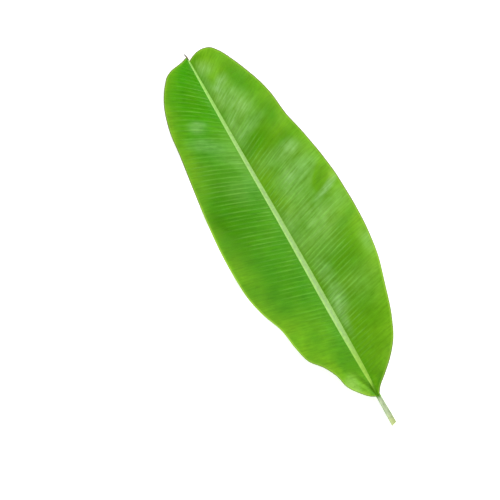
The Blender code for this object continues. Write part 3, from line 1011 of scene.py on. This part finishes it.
@dataclass(frozen=True)
class MidribFinish:
    """Fresh midrib and stalk: pale, nearly bare of green, with lengthwise fibres.

    The eye sees a pale green strip that yellows towards the base, where it runs out in a dark green throat, and a
    greyish stalk. The throat and the low flanks are darker partly as painted shade where the blade closes over the
    midrib, and the stub's sides are darker as painted shade.
    """

    name: str = "banana_midrib"
    groove: str = "#9FC77E"
    lip: str = "#A4D274"
    tip: str = "#A0D868"
    keel: str = "#8FBC62"
    base: str = "#98C84A"
    stalk: str = "#B8CAA0"
    # Painted shade: the stub's sides are darker, as where they turn from the light.
    stalk_side_shade: str = "#86A066"
    stalk_stain: str = "#7E9A62"
    stalk_end: str = "#BCCA88"
    # Dark green at the blade's start, partly painted shade where the blade closes over the groove.
    throat_and_shade: str = "#478604"
    # Green on the midrib's flanks low down, partly painted shade in the gap beside the blade.
    flank_and_shade: str = "#5A9408"
    dried: str = "#A8904E"
    roughness: float = 0.45

    def make(self) -> bpy.types.Material:
        """Builds the node material."""
        material, tree, shader = new_material(self.name)
        place = add_node(tree, "TexCoord", out="Object")
        around = add_node(tree, "Attribute", out=2, attribute_name="round")
        along = add_node(tree, "Attribute", out=2, attribute_name="along")
        from_middle = add_node(tree, "Math", {0: around}, operation="ABSOLUTE")
        # The flanks low down, where the blade closes over them and painted shade is laid.
        flank_and_shade = add_node(tree, "MapRange", {0: from_middle, 1: 0.9, 2: 1.05})
        low_down = add_node(tree, "MapRange", {0: along, 1: 60.0, 2: 30.0})
        sunk = add_node(tree, "Math", {0: flank_and_shade, 1: low_down}, operation="MULTIPLY")
        blot = add_node(
            tree, "TexNoise",
            {"Vector": add_node(tree, "Mapping", {"Vector": place, "Scale": (1.6, 0.6, 1.0)}), "Scale": 190.0,
             "Detail": 3.0},
        )
        blot = add_node(tree, "MapRange", {0: blot, 1: 0.48, 2: 0.68, 3: 0.0, 4: 0.6})
        on_stalk = add_node(tree, "MapRange", {0: along, 1: -2.0, 2: -10.0})
        stained = add_node(tree, "Math", {0: blot, 1: on_stalk}, operation="MULTIPLY")
        # Painted shade along the stub's sides.
        side = add_node(tree, "MapRange", {0: from_middle, 1: 0.96, 2: 1.1, 4: 0.8})
        side = add_node(tree, "Math", {0: side, 1: on_stalk}, operation="MULTIPLY")
        # Each zone is a place to read, where its colour starts and is full, and the colour.
        colour = linear(self.groove)
        for reading, start, stop, code in (
            (from_middle, 0.15, 0.55, self.lip),
            (along, 190.0, 60.0, self.base),
            (along, 560.0, 800.0, self.tip),
            (from_middle, 1.02, 1.3, self.keel),
            (along, 844.0, 850.0, self.dried),
            # The throat and the low flanks carry painted shade as well as the blade's green.
            (along, 44.0, 3.0, self.throat_and_shade),
            (sunk, 0.0, 1.0, self.flank_and_shade),
            (along, 2.0, -8.0, self.stalk),
            (along, -40.0, -64.0, self.stalk_end),
            # Painted shade on the stub's sides.
            (side, 0.0, 1.0, self.stalk_side_shade),
            (stained, 0.0, 1.0, self.stalk_stain),
        ):
            share = add_node(
                tree, "MapRange", {0: reading, 1: start, 2: stop}, interpolation_type="SMOOTHSTEP"
            )
            colour = add_node(tree, "Mix", {0: share, 6: colour, 7: linear(code)}, out=2, data_type="RGBA")
        round_at = add_node(tree, "Math", {0: around, 1: 16.0}, operation="MULTIPLY")
        along_at = add_node(tree, "Math", {0: along, 1: 0.05}, operation="MULTIPLY")
        strand_at = add_node(tree, "CombineXYZ", {0: round_at, 1: along_at, 2: 0.0})
        strand = add_node(tree, "TexNoise", {"Vector": strand_at, "Scale": 1.0, "Detail": 3.0})
        mottle = add_node(tree, "TexNoise", {"Vector": place, "Scale": 160.0, "Detail": 4.0})
        fibrous = add_node(tree, "MapRange", {0: strand, 1: 0.25, 2: 0.75, 3: 0.87, 4: 1.10})
        spotted = add_node(tree, "MapRange", {0: mottle, 1: 0.25, 2: 0.75, 3: 0.86, 4: 1.11})
        value = add_node(tree, "Math", {0: fibrous, 1: spotted}, operation="MULTIPLY")
        colour = add_node(tree, "HueSaturation", {"Value": value, "Color": colour})
        tree.links.new(colour, shader.inputs["Base Color"])
        rough = add_node(
            tree, "MapRange", {0: mottle, 1: 0.3, 2: 0.7, 3: self.roughness - 0.06, 4: self.roughness + 0.06}
        )
        tree.links.new(rough, shader.inputs["Roughness"])
        shader.inputs["Specular IOR Level"].default_value = 0.08
        bump = add_node(tree, "Bump", {"Strength": 0.8, "Distance": 0.12 * MM, "Height": strand})
        tree.links.new(bump, shader.inputs["Normal"])
        return material


@dataclass(frozen=True)
class CutFinish:
    """A stalk cut with a knife some time ago: pale walls round open air cells, browned at the rim, with the cells
    darker as painted shade in their hollows.
    """

    name: str = "banana_stalk_cut"
    wall: str = "#CBD8A8"
    # Darker in the cells, as painted shade in their hollows.
    cell: str = "#6F7C48"
    rind: str = "#9A8A58"

    def make(self) -> bpy.types.Material:
        """Builds the node material."""
        material, tree, shader = new_material(self.name)
        place = add_node(tree, "TexCoord", out="Object")
        cell = add_node(tree, "Attribute", out=2, attribute_name="cell")
        cut = add_node(tree, "Attribute", out=2, attribute_name="cut")
        # Painted shade: the air cells are darker than the walls round them.
        colour = add_node(
            tree, "Mix", {0: cell, 6: linear(self.wall), 7: linear(self.cell)}, out=2, data_type="RGBA"
        )
        near_rim = add_node(
            tree, "MapRange", {0: cut, 1: 0.9, 2: 0.1, 3: 0.0, 4: 0.8}, interpolation_type="SMOOTHSTEP"
        )
        colour = add_node(tree, "Mix", {0: near_rim, 6: colour, 7: linear(self.rind)}, out=2, data_type="RGBA")
        stain = add_node(tree, "TexNoise", {"Vector": place, "Scale": 420.0, "Detail": 3.0})
        value = add_node(tree, "MapRange", {0: stain, 1: 0.3, 2: 0.7, 3: 0.82, 4: 1.1})
        colour = add_node(tree, "HueSaturation", {"Value": value, "Color": colour})
        tree.links.new(colour, shader.inputs["Base Color"])
        shader.inputs["Roughness"].default_value = 0.7
        return material


@dataclass(frozen=True)
class DriedFinish:
    """Withered leaf tip: brittle brown tissue, dull and streaked."""

    name: str = "dried_leaf_thread"
    dark: str = "#3A2E2A"
    light: str = "#6E5E4C"

    def make(self) -> bpy.types.Material:
        """Builds the node material."""
        material, tree, shader = new_material(self.name)
        place = add_node(tree, "TexCoord", out="Object")
        drawn_out = add_node(tree, "Mapping", {"Vector": place, "Scale": (1.0, 0.25, 1.0)})
        streak = add_node(tree, "TexNoise", {"Vector": drawn_out, "Scale": 1400.0, "Detail": 3.0})
        share = add_node(tree, "MapRange", {0: streak, 1: 0.35, 2: 0.65})
        colour = add_node(
            tree, "Mix", {0: share, 6: linear(self.dark), 7: linear(self.light)}, out=2, data_type="RGBA"
        )
        tree.links.new(colour, shader.inputs["Base Color"])
        shader.inputs["Roughness"].default_value = 0.8
        bump = add_node(tree, "Bump", {"Strength": 1.0, "Distance": 0.2 * MM, "Height": streak})
        tree.links.new(bump, shader.inputs["Normal"])
        return material


@dataclass(frozen=True)
class Studio:
    """A white sweep under soft light, and a camera that looks straight down."""

    picture: float = 500.0  # pixels
    scale: float = 2.1845  # millimetres to the pixel on the leaf
    aim_x: float = -86.1  # the picture's middle in the drawing frame
    aim_y: float = 414.6
    turn: float = -29.4  # degrees that the leaf is turned in the picture
    lens: float = 85.0
    sensor: float = 36.0
    mean_height: float = 8.0
    room: float = 1.14  # strength of the even light from all sides
    sides: float = 0.95
    overhead: float = 0.05  # dark above the camera, so that the gloss doesn't grey the green
    floor_glow: float = 0.5  # light from under the floor, which keeps the shadows faint

    def camera(self, placement: Placement) -> None:
        """Makes the camera.

        Args:
            placement: Where the drawing frame lies in the row frame.
        """
        width = self.picture * self.scale * MM
        data = bpy.data.cameras.new("camera")
        data.lens = self.lens
        data.sensor_width = self.sensor
        camera = bpy.data.objects.new("camera", data)
        distance = width * self.lens / self.sensor
        camera.location = (
            (self.aim_x + placement.across) * MM,
            (self.aim_y + placement.along) * MM,
            distance + self.mean_height * MM,
        )
        camera.rotation_euler = (0.0, 0.0, math.radians(self.turn))
        bpy.context.scene.collection.objects.link(camera)
        bpy.context.scene.camera = camera

    def lamp(self, name: str, toward: tuple[float, float], rise: float, spread: float, strength: float) -> None:
        """Lights the set from far off, with the same strength all over it.

        Args:
            name: The light's name.
            toward: The level direction that it comes from, in the row frame.
            rise: Its angle above the floor, in degrees.
            spread: How wide it looks from the leaf, in degrees, which softens its shadows.
            strength: Its power on a surface that faces it, in watts to the square metre.
        """
        data = bpy.data.lights.new(name, "SUN")
        data.energy = strength
        data.angle = math.radians(spread)
        lamp = bpy.data.objects.new(name, data)
        level = Vector((*toward, 0.0)).normalized()
        up = math.radians(rise)
        lamp.location = level * math.cos(up) * 3 + Vector((0, 0, math.sin(up) * 3))
        lamp.rotation_euler = (-lamp.location).to_track_quat("-Z", "Y").to_euler()
        bpy.context.scene.collection.objects.link(lamp)

    def light(self) -> None:
        """Lights the set: an even pale room, darker overhead, with a key from the leaf's right."""
        world = bpy.data.worlds.new("studio")
        world.use_nodes = True
        tree = world.node_tree
        up = add_node(tree, "SeparateXYZ", {0: add_node(tree, "TexCoord", out="Generated")}, out=2)
        grey = add_node(
            tree, "MapRange", {0: up, 1: 0.6, 2: 0.92, 3: self.sides, 4: self.overhead},
            interpolation_type="SMOOTHSTEP",
        )
        background = tree.nodes["Background"]
        tree.links.new(grey, background.inputs["Color"])
        background.inputs["Strength"].default_value = self.room
        bpy.context.scene.world = world
        self.lamp("key", (0.92, 0.39), 38.0, 26.0, 2.1)
        self.lamp("fill", (-0.8, 0.3), 44.0, 40.0, 0.4)
        bpy.context.scene.view_settings.view_transform = "Standard"

    def floor(self) -> None:
        """Lays the pale floor."""
        bm = bmesh.new()
        bmesh.ops.create_grid(bm, x_segments=1, y_segments=1, size=6.0)
        bmesh.ops.translate(bm, verts=bm.verts[:], vec=(0.0, 0.0, -0.2 * MM))
        mesh = bpy.data.meshes.new("floor")
        bm.to_mesh(mesh)
        bm.free()
        material, _, shader = new_material("opal_light_table")
        shader.inputs["Base Color"].default_value = (0.95, 0.95, 0.95, 1.0)
        shader.inputs["Roughness"].default_value = 0.9
        shader.inputs["Specular IOR Level"].default_value = 0.1
        shader.inputs["Emission Color"].default_value = (1.0, 1.0, 1.0, 1.0)
        shader.inputs["Emission Strength"].default_value = self.floor_glow
        mesh.materials.append(material)
        floor = bpy.data.objects.new("floor", mesh)
        bpy.context.scene.collection.objects.link(floor)


def left_half(spine: Spine) -> BladeHalf:
    """Gives the left half with its sizes."""
    return BladeHalf(
        name="left_half",
        side=Side.LEFT,
        spine=spine,
        margin=(
            (-11, 5), (-33, 28), (-49, 52), (-56, 80), (-71, 110), (-95, 141), (-105, 178),
            (-113, 227), (-131, 275), (-142, 320), (-145.5, 370), (-145.5, 428), (-140.5, 500),
            (-130.5, 585), (-119.5, 665), (-110, 738), (-92, 789), (-69, 823), (-59, 833.5),
            (-47, 839.8), (-24, 844.3), (-10, 847.2),
        ),
        top_y=850.0,
        lean=((0, 12), (170, 15), (300, 15.5), (425, 18), (560, 22), (640, 27), (700, 33), (780, 40),
              (850, 46)),
        arch=((0, 0), (20, -1), (50, 0), (100, 3), (200, 6), (330, 8), (480, 8), (620, 7),
              (740, 5), (820, 2), (850, 0)),
        margin_height=((0, 13), (20, 17), (50, 17), (95, 12), (125, 11), (170, 4), (250, 0),
                       (620, 0), (740, 1.5), (850, 5)),
        waves=((0.64, 151.0, 0.9), (0.36, 83.0, 2.6)),
        relief=((0, 0.0), (110, 0.2), (200, 0.6), (320, 0.95), (500, 1.1), (640, 1.1), (760, 0.7),
                (850, 0.2)),
        reach=((0, 0.5), (250, 0.62), (420, 0.75), (520, 0.95), (700, 0.95), (850, 0.8)),
        ramp=(0.5, 1.15),
        swells=(
            Patch(703, 0.47, 14, 0.2, 0.8), Patch(600, 0.55, 30, 0.25, -0.8), Patch(500, 0.3, 40, 0.2, 0.6),
        ),
        wax_and_sheen=(
            # Wax bloom, with painted sheen where the blade would catch the light.
            Patch(702, 0.49, 14, 0.15, 0.44, 60), Patch(708, 0.40, 6, 0.12, 0.35, 75),
            Patch(659, 0.46, 17, 0.30, 0.42, 60),
            Patch(620, 0.26, 24, 0.24, 0.2, 100), Patch(534, 0.28, 34, 0.24, 0.14, 40),
            Patch(580, 0.05, 80, 0.12, 0.14),
            Patch(42, 0.90, 20, 0.46, 0.45, -30, 1.6),
        ),
        # Darker green with painted shade, on fold sides turned from the light and at the blade's start.
        deep=(
            Patch(585, 0.58, 26, 0.24, 0.36, 60), Patch(520, 0.72, 44, 0.20, 0.9),
            Patch(440, 0.64, 40, 0.26, 0.5), Patch(350, 0.30, 90, 0.34, 0.35), Patch(290, 0.20, 34, 0.20, 0.25),
            Patch(764, 0.40, 26, 0.30, 0.25, 60), Patch(88, 0.24, 36, 0.20, 0.45),
            Patch(505, 0.40, 50, 0.44, 0.85), Patch(6, 0.10, 12, 0.3, 0.5),
        ),
        # Yellowing, and painted light on the raised lobe at the blade's start.
        yellow_and_lit=(
            Patch(104, 0.82, 24, 0.24, 0.8), Patch(138, 0.60, 30, 0.30, 0.6), Patch(210, 0.84, 46, 0.24, 0.6),
            Patch(48, 0.62, 34, 0.38, 0.75), Patch(640, 0.88, 50, 0.14, 0.35, 60), Patch(760, 0.97, 60, 0.08, 0.5),
            Patch(200, 0.42, 60, 0.30, 0.5), Patch(36, 0.24, 40, 0.26, 0.5), Patch(80, 0.2, 40, 0.3, 0.3),
            Patch(650, 0.16, 60, 0.24, 0.2), Patch(590, 0.03, 70, 0.10, 0.2), Patch(500, 0.76, 54, 0.32, -0.3),
        ),
        # Painted highlights on the raised lobe at the blade's start.
        pale=(Patch(42, 0.90, 20, 0.46, 0.3, -30, 1.6), Patch(17, 0.80, 9, 0.25, 0.3),
              Patch(18, 0.58, 9, 0.18, 0.22), Patch(110, 0.93, 24, 0.10, 0.2)),
        dry=((0, 0.7), (120, 0.7), (200, 0.0), (500, 0.0), (600, 0.8), (850, 1.0)),
        valley=Valley(),
    )


def right_half(spine: Spine) -> BladeHalf:
    """Gives the right half with its sizes."""
    return BladeHalf(
        name="right_half",
        side=Side.RIGHT,
        spine=spine,
        margin=(
            (15, 16), (37, 36), (66, 64), (92, 96), (112.5, 138), (134, 204), (153, 268),
            (161, 330), (163.5, 380), (162, 440), (155.5, 512), (144, 575), (130.5, 633),
            (122, 698), (106, 750), (85.5, 799), (68, 830.5), (54, 845), (38, 850),
            (20, 848.5), (9, 844),
        ),
        top_y=840.0,
        lean=((0, 10), (250, 14), (425, 17), (550, 22), (680, 28), (850, 45)),
        arch=((0, 0), (35, 0), (70, 1), (120, 3), (200, 6), (330, 8), (480, 9), (620, 8),
              (740, 6), (820, 2), (850, 0)),
        margin_height=((0, 13), (20, 18), (50, 22), (110, 18), (180, 8), (260, 1), (330, 0),
                       (600, 0), (740, 2), (850, 5)),
        waves=((0.8, 130.0, 0.0), (0.2, 114.0, 3.6)),
        relief=((0, 0.0), (110, 0.5), (200, 0.6), (340, 0.75), (520, 1.1), (640, 0.85), (720, 0.35),
                (850, 0.0)),
        reach=((0, 0.5), (200, 0.65), (330, 0.85), (480, 0.62), (600, 0.5), (850, 0.45)),
        ramp=(0.5, 1.2),
        swells=(
            Patch(458, 0.85, 14, 0.30, 1.6, 60), Patch(700, 0.3, 30, 0.25, 0.8), Patch(400, 0.5, 50, 0.4, 0.8),
        ),
        # Wax bloom, with painted sheen where the blade would catch the light; a negative strength takes it off a
        # fold's shaded side.
        wax_and_sheen=(
            Patch(810, 0.32, 18, 0.24, 0.4), Patch(770, 0.46, 12, 0.15, 0.6, 30), Patch(785, 0.12, 30, 0.12, 0.25),
            Patch(756, 0.25, 10, 0.08, 0.35), Patch(732, 0.30, 34, 0.30, 0.5),
            Patch(688, 0.36, 26, 0.30, 0.42, 40), Patch(652, 0.38, 14, 0.30, 0.4, 40),
            Patch(571, 0.72, 16, 0.13, 0.4), Patch(562, 0.42, 22, 0.34, 0.3), Patch(518, 0.60, 26, 0.28, 0.34),
            Patch(498, 0.35, 34, 0.20, 0.4), Patch(454, 0.79, 9, 0.20, 0.85, 60),
            Patch(190, 0.08, 40, 0.08, 0.4), Patch(400, 0.06, 60, 0.08, 0.15), Patch(650, 0.10, 46, 0.12, 0.25),
            Patch(415, 0.42, 50, 0.44, 0.36), Patch(345, 0.30, 40, 0.30, 0.15, 40), Patch(290, 0.17, 34, 0.12, 0.3),
            Patch(310, 0.95, 30, 0.12, 0.3), Patch(420, 0.86, 24, 0.2, 0.2),
            Patch(228, 0.15, 32, 0.14, 0.5), Patch(235, 0.62, 50, 0.4, 0.12),
            Patch(500, 0.72, 44, 0.3, 0.15, 90), Patch(481, 0.80, 17, 0.15, -0.8, 125, 1.2),
        ),
        # Darker green with painted shade, on fold sides turned from the light and at the blade's start.
        deep=(
            Patch(483, 0.80, 11, 0.13, 0.4, 125, 1.2), Patch(616, 0.28, 20, 0.28, 0.7, 40),
            Patch(305, 0.44, 46, 0.36, 0.5), Patch(604, 0.08, 22, 0.12, 0.3),
            Patch(592, 0.75, 14, 0.30, 0.5, 60), Patch(655, 0.78, 26, 0.14, 0.6, 80),
            Patch(760, 0.75, 42, 0.19, 0.7, 80), Patch(374, 0.80, 12, 0.20, 0.5, 60),
            Patch(190, 0.45, 50, 0.24, 0.15), Patch(50, 0.06, 50, 0.08, 0.4), Patch(18, 0.88, 22, 0.5, 1.0),
        ),
        # Yellowing, and painted light at the blade's start.
        yellow_and_lit=(
            Patch(806, 0.36, 26, 0.28, 0.95), Patch(740, 0.34, 40, 0.34, 0.5),
            Patch(535, 0.97, 36, 0.10, 0.5), Patch(790, 0.52, 40, 0.3, 0.5),
            Patch(400, 0.5, 40, 0.4, 0.3),
            Patch(730, 0.12, 50, 0.12, 0.3), Patch(310, 0.93, 44, 0.14, 0.5),
            Patch(606, 0.96, 24, 0.12, 0.85), Patch(440, 0.92, 18, 0.16, 0.5, 60),
            Patch(400, 0.88, 30, 0.18, 0.6), Patch(690, 0.35, 30, 0.34, 0.5, 60), Patch(90, 0.5, 50, 0.5, 0.3),
            Patch(530, 0.10, 90, 0.24, 0.5), Patch(470, 0.4, 40, 0.3, 0.15), Patch(825, 0.8, 30, 0.3, 0.35),
        ),
        # Painted highlight on the lit side of a fold in the margin.
        pale=(Patch(474, 0.95, 12, 0.07, 0.4, 125),),
        dry=((0, 0.8), (60, 0.8), (120, 0.7), (250, 0.5), (400, 1.0), (850, 1.0)),
    )


def placed(half: BladeHalf, spine: Spine) -> Placement:
    """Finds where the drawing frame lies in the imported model.

    Args:
        half: The right half, which reaches the model's right side.
        spine: The midrib's sizes.

    Returns:
        The placement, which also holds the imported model's box.
    """
    low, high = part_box(NODE)
    reach = half.vein_ends(np.arange(5.0, half.top_y, 5.0))[0].max()
    return Placement(high.x / MM - float(reach), high.y / MM - spine.thread_end, low, high)


def report(piece: bpy.types.Object) -> None:
    """Logs a piece's size."""
    corners = np.array([v.co for v in piece.data.vertices])
    size = (corners.max(axis=0) - corners.min(axis=0)) / MM
    triangles = sum(len(p.vertices) - 2 for p in piece.data.polygons)
    LOG.info("%s: %d triangles, %.1f x %.1f x %.1f mm", piece.name, triangles, *size)


def main() -> None:
    """Builds the leaf's pieces in order, dresses them and sets the studio."""
    logging.basicConfig(level=logging.INFO, format="%(name)s: %(message)s")
    spine = Spine()
    left, right = left_half(spine), right_half(spine)
    placement = placed(right, spine)
    LOG.info("drawing frame lies at %.2f, %.2f mm", placement.across, placement.along)

    studio = Studio()
    studio.camera(placement)
    studio.light()
    studio.floor()

    under = BladeUnderFinish().make()
    # Yellowing with painted light, deep green with painted shade, wax bloom with painted sheen, and painted
    # highlights in the rim colour.
    tints = (
        Tint("yellow_and_lit", Tissue.YOUNG, 0.9, 0.2, 0.3), Tint("deep", Tissue.DEEP_AND_SHADE, 0.95, 0.3, 1.6),
        Tint("wax_and_sheen", Tissue.WAX_AND_SHEEN, 0.85, 0.25, 1.6), Tint("pale", Tissue.RIM_AND_HIGHLIGHT, 0.9, 0.2, 0.3),
    )
    left_tints = (*tints, Tint("ridge", Tissue.VEIN, 0.45, 0.4))
    right_tints = (*tints, Tint("ridge", Tissue.VEIN, 0.7, 0.5))
    left_finish = BladeUpperFinish("banana_blade_left", Tissue.COOL, left_tints, tip_share=0.9)
    right_finish = BladeUpperFinish("banana_blade_right", Tissue.WARM, right_tints)
    for half, finish in ((left, left_finish), (right, right_finish)):
        piece = half.build(placement)
        piece.data.materials.append(finish.make())
        piece.data.materials.append(under)
        report(piece)
    rib = MidribAndStalk("midrib_and_stalk", spine).build(placement)
    rib.data.materials.append(MidribFinish().make())
    rib.data.materials.append(CutFinish().make())
    report(rib)
    thread = DriedThread("dried_thread", spine).build(placement)
    thread.data.materials.append(DriedFinish().make())
    report(thread)


if __name__ == "__main__":
    main()
